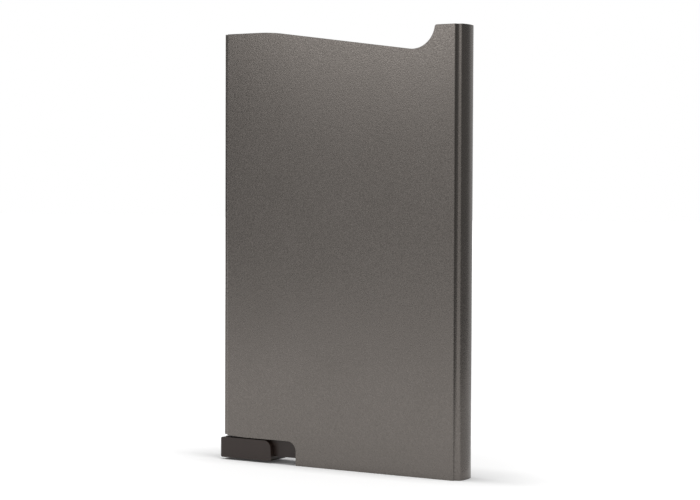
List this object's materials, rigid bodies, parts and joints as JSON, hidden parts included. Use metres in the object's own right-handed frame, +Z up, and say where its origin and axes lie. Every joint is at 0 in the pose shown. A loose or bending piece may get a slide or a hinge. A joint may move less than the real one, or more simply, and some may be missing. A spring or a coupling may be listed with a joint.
{
  "type": "card holder",
  "caption": "Slim aluminium card holder, a stepped rectangular tube with a waved rim and thumb scoop, and a thumb lever at its foot that fans the cards out.",
  "frame": {"origin": "middle of the footprint, on the surface that the holder stands on", "axes": "+Z up towards the card slot, +X across the wide face away from the thumb piece, -Y out of the front face"},
  "size_m": [0.0622, 0.007, 0.098],
  "materials": {
    "case_aluminium": "bead-blasted, gunmetal anodised, satin",
    "frame_plastic": "fine spark-eroded mould texture",
    "lever_plastic": "satin moulded",
    "pin_steel": "ground",
    "guide_plastic": "fine spark-eroded mould texture",
    "strip_foam": "soft closed-cell foam"
  },
  "bodies": {
    "case": {"case_sleeve": "case_aluminium", "base_frame": "frame_plastic", "pivot_pin": "pin_steel", "left_card_guide": "guide_plastic", "right_card_guide": "guide_plastic", "left_grip_strip": "strip_foam", "right_grip_strip": "strip_foam"},
    "lever": {"ejector_lever": "lever_plastic"}
  },
  "joints": [
    {"name": "lever_pivot", "type": "hinge", "parent": "case", "child": "lever", "pos_m": [-0.0145, 0, 0.008], "axis": [0, -1, 0], "range_deg": [0, 45]}
  ]
}
